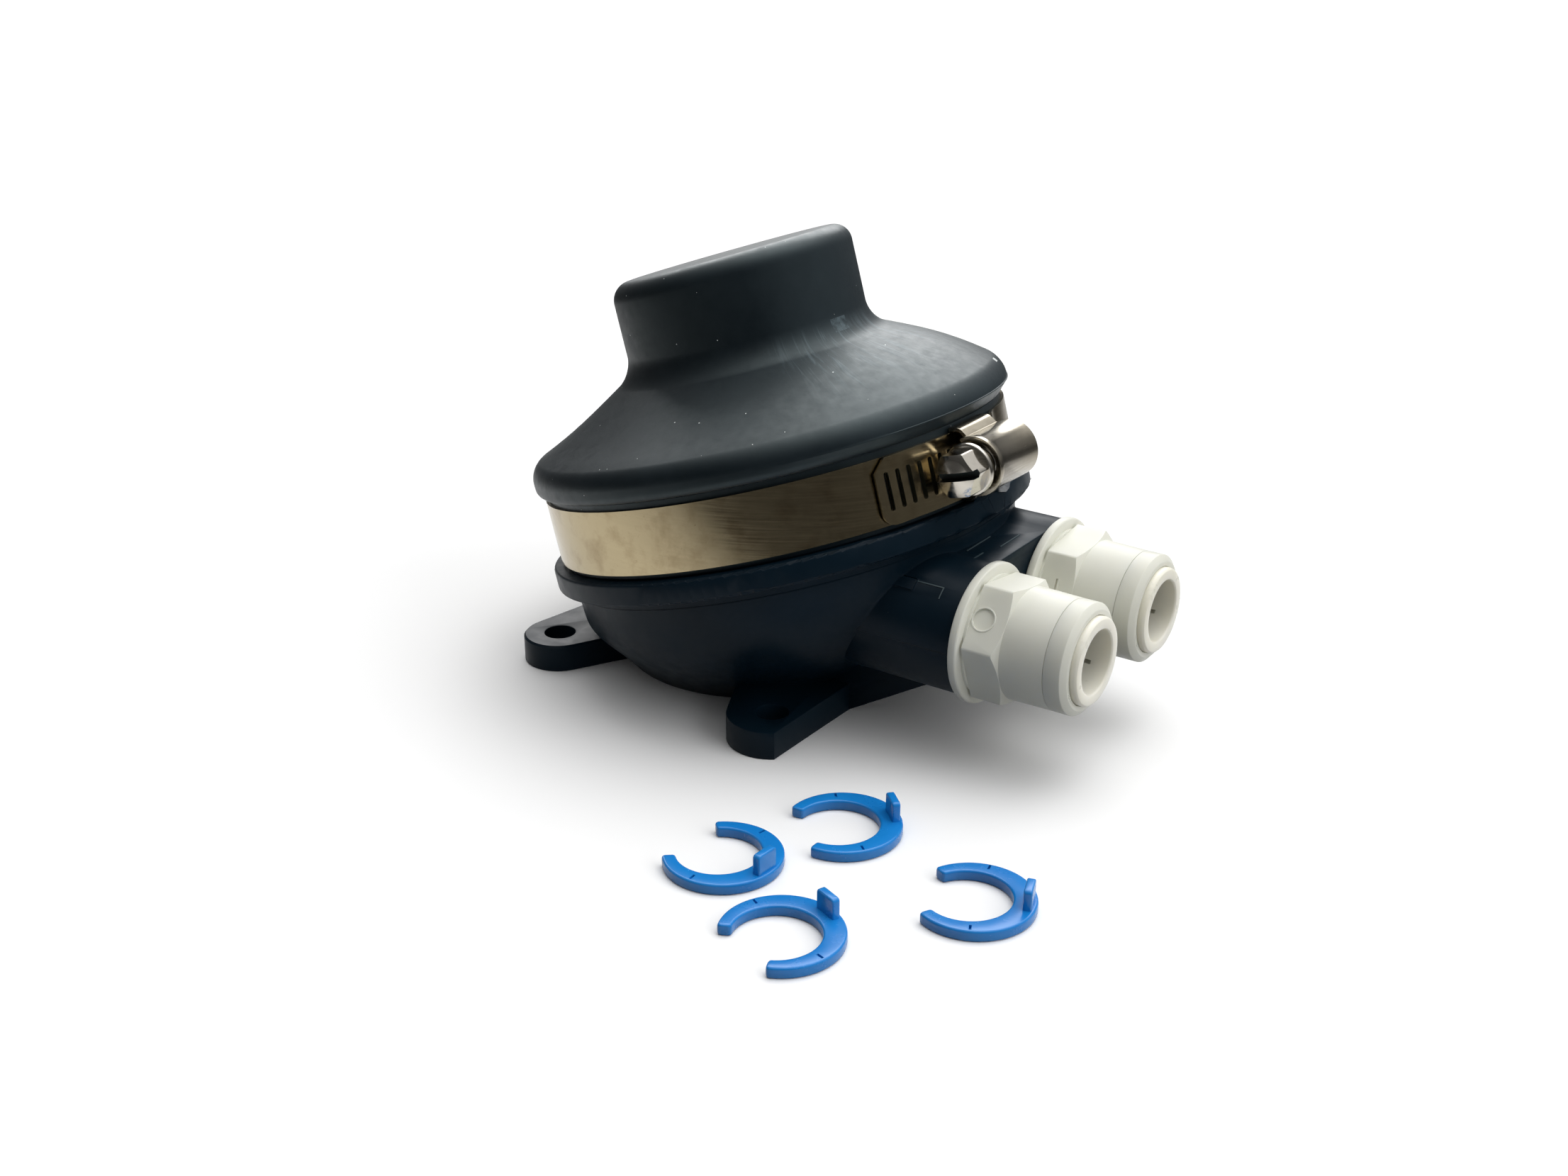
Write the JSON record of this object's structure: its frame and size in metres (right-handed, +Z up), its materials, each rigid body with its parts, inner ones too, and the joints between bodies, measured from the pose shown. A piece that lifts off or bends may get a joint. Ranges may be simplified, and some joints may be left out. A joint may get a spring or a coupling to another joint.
{
  "type": "caravan water pump",
  "caption": "Foot-operated diaphragm water pump: a rubber crown held on a lugged base by a hose clip, with push-fit inlet and outlet and loose locking clips.",
  "frame": {"origin": "on the floor under the base, midway between the four fixing holes, at the centre of the base's round foot", "axes": "+X out of the two ports, +Y across them towards the outlet, +Z up"},
  "size_m": [0.1451, 0.1495, 0.0904],
  "materials": {
    "base_plastic": "black moulded plastic, satin",
    "diaphragm_rubber": "dark slate grey moulded rubber, satin",
    "insert_plastic": "dark moulded plastic",
    "spring_steel": "stainless spring wire",
    "band_steel": "bright rolled stainless strip",
    "screw_steel": "bright turned stainless steel",
    "cage_plastic": "dark moulded plastic",
    "valve_rubber": "soft black rubber",
    "seal_rubber": "black rubber",
    "adaptor_plastic": "ivory white moulded plastic, semi-gloss",
    "grip_steel": "thin stainless ring",
    "collet_plastic": "ivory white moulded plastic, semi-gloss",
    "clip_plastic": "blue moulded plastic, semi-gloss"
  },
  "bodies": {
    "base": {"base_body": "base_plastic", "diaphragm_skirt": "diaphragm_rubber", "return_spring": "spring_steel", "clip_band": "band_steel", "clip_housing": "band_steel", "inlet_valve_cage": "cage_plastic", "inlet_face_seal": "seal_rubber", "inlet_adaptor": "adaptor_plastic", "inlet_end_cap": "adaptor_plastic", "inlet_tube_seal": "seal_rubber", "inlet_spacer_ring": "adaptor_plastic", "inlet_grip_ring": "grip_steel", "outlet_valve_cage": "cage_plastic", "outlet_face_seal": "seal_rubber", "outlet_adaptor": "adaptor_plastic", "outlet_end_cap": "adaptor_plastic", "outlet_tube_seal": "seal_rubber", "outlet_spacer_ring": "adaptor_plastic", "outlet_grip_ring": "grip_steel"},
    "crown": {"diaphragm_crown": "diaphragm_rubber", "crown_insert": "insert_plastic"},
    "clip_screw": {"clip_screw": "screw_steel"},
    "inlet_valve": {"inlet_valve": "valve_rubber"},
    "inlet_collet": {"inlet_collet": "collet_plastic"},
    "outlet_valve": {"outlet_valve": "valve_rubber"},
    "outlet_collet": {"outlet_collet": "collet_plastic"},
    "locking_clip_1": {"locking_clip_1": "clip_plastic"},
    "locking_clip_2": {"locking_clip_2": "clip_plastic"},
    "locking_clip_3": {"locking_clip_3": "clip_plastic"},
    "locking_clip_4": {"locking_clip_4": "clip_plastic"}
  },
  "joints": [
    {"name": "crown_stroke", "type": "slide", "parent": "base", "child": "crown", "axis": [0.2756, 0, -0.9613], "range_m": [0, 0.018], "stiffness_N_per_m": 600, "springref_m": -0.01, "deforming": ["return_spring", "diaphragm_skirt"]},
    {"name": "clip_screw_turn", "type": "hinge", "parent": "base", "child": "clip_screw", "pos_m": [0.05828, -0.00233, 0.05497], "axis": [-0.0419, -0.999, -0.012], "continuous": true},
    {"name": "inlet_valve_lift", "type": "slide", "parent": "base", "child": "inlet_valve", "axis": [-1, 0, 0], "range_m": [0, 0.002], "stiffness_N_per_m": 20, "springref_m": -0.001},
    {"name": "inlet_collet_press", "type": "slide", "parent": "base", "child": "inlet_collet", "axis": [-1, 0, 0], "range_m": [0, 0.0013]},
    {"name": "outlet_valve_lift", "type": "slide", "parent": "base", "child": "outlet_valve", "axis": [1, 0, 0], "range_m": [0, 0.002], "stiffness_N_per_m": 20, "springref_m": -0.001},
    {"name": "outlet_collet_press", "type": "slide", "parent": "base", "child": "outlet_collet", "axis": [-1, 0, 0], "range_m": [0, 0.0013]},
    {"name": "locking_clip_1_lift", "type": "slide", "parent": "base", "child": "locking_clip_1", "axis": [0, 0, 1], "range_m": [0, 0.03]},
    {"name": "locking_clip_2_lift", "type": "slide", "parent": "base", "child": "locking_clip_2", "axis": [0, 0, 1], "range_m": [0, 0.03]},
    {"name": "locking_clip_3_lift", "type": "slide", "parent": "base", "child": "locking_clip_3", "axis": [0, 0, 1], "range_m": [0, 0.03]},
    {"name": "locking_clip_4_lift", "type": "slide", "parent": "base", "child": "locking_clip_4", "axis": [0, 0, 1], "range_m": [0, 0.03]}
  ]
}
